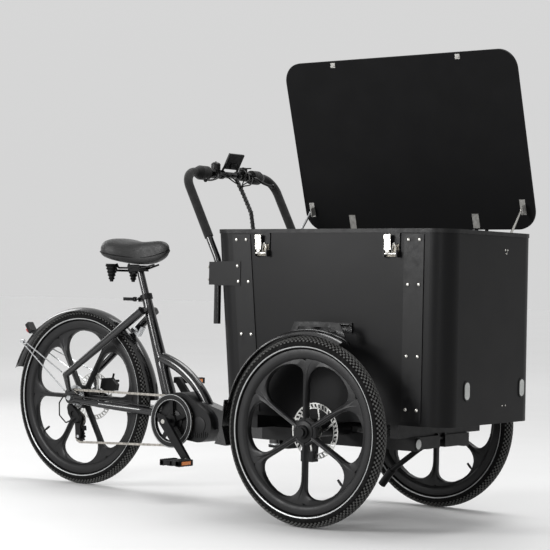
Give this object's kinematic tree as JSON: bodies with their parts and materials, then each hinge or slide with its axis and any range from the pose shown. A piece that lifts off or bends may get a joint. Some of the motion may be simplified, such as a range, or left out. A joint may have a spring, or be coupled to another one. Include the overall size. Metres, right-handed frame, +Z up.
{
  "type": "cargo bicycle",
  "caption": "Electric cargo tricycle with a lidded box between the front wheels, centre-pivot steering, mid motor and chain drive.",
  "frame": {"origin": "on the ground, centred under the whole tricycle", "axes": "+X forward along the tricycle, +Y to the rider's left, +Z up"},
  "size_m": [2.1304, 0.848, 1.5536],
  "materials": {
    "frame_paint": "satin black paint on aluminium tube",
    "motor_case": "black plastic and painted casting",
    "black_plastic": "moulded black plastic",
    "box_panel": "satin dark grey panel",
    "floor_panel": "textured dark panel",
    "black_metal": "black anodised",
    "steel_part": "plated steel",
    "chain_steel": "oiled steel",
    "silver_metal": "polished",
    "wheel_cast": "black cast wheel",
    "tyre_rubber": "black rubber with a silver reflective line",
    "soft_rubber": "matt foam and rubber",
    "saddle_cover": "black padded cover",
    "cable_skin": "black cable sleeve",
    "lamp_red": "red lens in a black case",
    "reflector_clear": "clear ribbed lens",
    "lid_panel": "matt dark grey panel",
    "screen": "dark glossy screen"
  },
  "bodies": {
    "rear_frame": {"main_frame": "frame_paint", "motor": "motor_case", "rear_mudguard": "black_plastic", "mudguard_stays": "steel_part", "tail_light": "lamp_red", "rear_caliper": "black_metal", "rear_axle": "steel_part", "seat_clamp": "black_metal", "head_bearings": "steel_part", "chain": "chain_steel", "derailleur": "black_metal", "rear_cables": "cable_skin"},
    "seat": {"seat_post": "black_metal", "saddle": "saddle_cover", "saddle_frame": "steel_part"},
    "seat_clamp_lever": {"seat_clamp_lever": "black_metal"},
    "crank": {"chainring": "steel_part", "chain_guard": "black_plastic", "crank_arms": "black_metal"},
    "pedal_right": {"pedal_right": "black_plastic"},
    "pedal_left": {"pedal_left": "black_plastic"},
    "rear_wheel": {"rear_wheel": "wheel_cast", "rear_tyre": "tyre_rubber"},
    "cassette": {"cassette": "steel_part"},
    "guide_pulley": {"guide_pulley": "black_plastic"},
    "tension_pulley": {"tension_pulley": "black_plastic"},
    "front_carriage": {"chassis": "frame_paint", "steering_pin": "steel_part", "battery": "motor_case", "box_shell": "box_panel", "box_floor": "floor_panel", "box_rim": "black_plastic", "corner_strips": "black_metal", "box_fittings": "black_metal", "handlebar_clamps": "black_metal", "front_mudguards": "black_plastic", "front_calipers": "black_metal", "front_reflectors": "reflector_clear", "cable_bundle": "cable_skin", "handlebar": "black_metal", "bar_foam": "soft_rubber", "bar_controls": "black_metal", "display": "screen"},
    "lid": {"lid": "lid_panel", "lid_fittings": "silver_metal"},
    "rear_strut_cylinder": {"rear_strut_cylinder": "black_metal"},
    "rear_strut_rod": {"rear_strut_rod": "silver_metal"},
    "front_strut_cylinder": {"front_strut_cylinder": "black_metal"},
    "front_strut_rod": {"front_strut_rod": "silver_metal"},
    "rear_latch": {"rear_latch": "silver_metal"},
    "front_latch": {"front_latch": "silver_metal"},
    "right_brake_lever": {"right_brake_lever": "silver_metal"},
    "left_brake_lever": {"left_brake_lever": "silver_metal"},
    "shift_lever": {"shift_lever": "black_plastic"},
    "stand": {"stand": "black_metal"},
    "front_right_wheel": {"front_right_wheel": "wheel_cast", "front_right_tyre": "tyre_rubber"},
    "front_left_wheel": {"front_left_wheel": "wheel_cast", "front_left_tyre": "tyre_rubber"}
  },
  "joints": [
    {"name": "steering", "type": "hinge", "parent": "rear_frame", "child": "front_carriage", "pos_m": [0.21418, 0, 0.253], "axis": [0, 0, 1], "range_deg": [-35, 35]},
    {"name": "rear_wheel_spin", "type": "hinge", "parent": "rear_frame", "child": "rear_wheel", "pos_m": [-0.71582, 0, 0.3295], "axis": [0, 1, 0], "continuous": true},
    {"name": "front_right_wheel_spin", "type": "hinge", "parent": "front_carriage", "child": "front_right_wheel", "pos_m": [0.61718, -0.39, 0.3035], "axis": [0, 1, 0], "continuous": true},
    {"name": "front_left_wheel_spin", "type": "hinge", "parent": "front_carriage", "child": "front_left_wheel", "pos_m": [0.61718, 0.39, 0.3035], "axis": [0, 1, 0], "continuous": true},
    {"name": "crank_spin", "type": "hinge", "parent": "rear_frame", "child": "crank", "pos_m": [-0.22082, 0, 0.271], "axis": [0, 1, 0], "continuous": true},
    {"name": "cassette_spin", "type": "hinge", "parent": "rear_frame", "child": "cassette", "pos_m": [-0.71582, -0.058, 0.3295], "axis": [0, 1, 0], "continuous": true},
    {"name": "guide_pulley_spin", "type": "hinge", "parent": "rear_frame", "child": "guide_pulley", "pos_m": [-0.67582, -0.058, 0.247], "axis": [0, 1, 0], "continuous": true},
    {"name": "tension_pulley_spin", "type": "hinge", "parent": "rear_frame", "child": "tension_pulley", "pos_m": [-0.67182, -0.058, 0.186], "axis": [0, 1, 0], "continuous": true},
    {"name": "right_pedal_spin", "type": "hinge", "parent": "crank", "child": "pedal_right", "pos_m": [-0.10833, -0.16, 0.13694], "axis": [0, 1, 0], "continuous": true},
    {"name": "left_pedal_spin", "type": "hinge", "parent": "crank", "child": "pedal_left", "pos_m": [-0.33331, 0.16, 0.40506], "axis": [0, 1, 0], "continuous": true},
    {"name": "seat_height", "type": "slide", "parent": "rear_frame", "child": "seat", "axis": [-0.3239, 0, 0.9461], "range_m": [-0.06, 0.06]},
    {"name": "seat_clamp_lever_hinge", "type": "hinge", "parent": "rear_frame", "child": "seat_clamp_lever", "pos_m": [-0.43522, -0.034, 0.705], "axis": [0, 0, 1], "range_deg": [0, 150]},
    {"name": "lid_hinge", "type": "hinge", "parent": "front_carriage", "child": "lid", "pos_m": [0.58418, 0.295, 0.979], "axis": [1, 0, 0], "range_deg": [0, 73.5]},
    {"name": "rear_strut_tilt", "type": "hinge", "parent": "front_carriage", "child": "rear_strut_cylinder", "pos_m": [0.16118, 0.048, 0.8], "axis": [1, 0, 0], "range_deg": [-13.73, 0.2]},
    {"name": "rear_strut_stroke", "type": "slide", "parent": "rear_strut_cylinder", "child": "rear_strut_rod", "axis": [0, 0.6313, 0.7755], "range_m": [-0.07192, 0.0005]},
    {"name": "front_strut_tilt", "type": "hinge", "parent": "front_carriage", "child": "front_strut_cylinder", "pos_m": [1.02518, 0.048, 0.8], "axis": [1, 0, 0], "range_deg": [-13.73, 0.2]},
    {"name": "front_strut_stroke", "type": "slide", "parent": "front_strut_cylinder", "child": "front_strut_rod", "axis": [0, 0.6313, 0.7755], "range_m": [-0.07192, 0.0005]},
    {"name": "rear_latch_hinge", "type": "hinge", "parent": "front_carriage", "child": "rear_latch", "pos_m": [0.34418, -0.286, 0.872], "axis": [1, 0, 0], "range_deg": [0, 110]},
    {"name": "front_latch_hinge", "type": "hinge", "parent": "front_carriage", "child": "front_latch", "pos_m": [0.85718, -0.286, 0.872], "axis": [1, 0, 0], "range_deg": [0, 110]},
    {"name": "right_brake_lever_hinge", "type": "hinge", "parent": "front_carriage", "child": "right_brake_lever", "pos_m": [-0.00302, -0.102, 1.155], "axis": [0, 0, -1], "range_deg": [0, 18], "stiffness_Nm_per_rad": 1.2},
    {"name": "left_brake_lever_hinge", "type": "hinge", "parent": "front_carriage", "child": "left_brake_lever", "pos_m": [-0.00302, 0.102, 1.155], "axis": [0, 0, 1], "range_deg": [0, 18], "stiffness_Nm_per_rad": 1.2},
    {"name": "shift_lever_hinge", "type": "hinge", "parent": "front_carriage", "child": "shift_lever", "pos_m": [-0.02502, 0.074, 1.183], "axis": [0, 0, 1], "range_deg": [-30, 30]},
    {"name": "stand_hinge", "type": "hinge", "parent": "front_carriage", "child": "stand", "pos_m": [0.87018, 0, 0.281], "axis": [0, -1, 0], "range_deg": [0, 47]}
  ],
  "couplings": [
    {"joint": "cassette_spin", "follows": "crank_spin", "ratio": 3.1429},
    {"joint": "guide_pulley_spin", "follows": "crank_spin", "ratio": -4},
    {"joint": "tension_pulley_spin", "follows": "crank_spin", "ratio": 4},
    {"joint": "rear_strut_tilt", "follows": "lid_hinge", "ratio": -0.18414},
    {"joint": "rear_strut_stroke", "follows": "lid_hinge", "m_per_rad": -0.055673},
    {"joint": "front_strut_tilt", "follows": "lid_hinge", "ratio": -0.18414},
    {"joint": "front_strut_stroke", "follows": "lid_hinge", "m_per_rad": -0.055673}
  ]
}
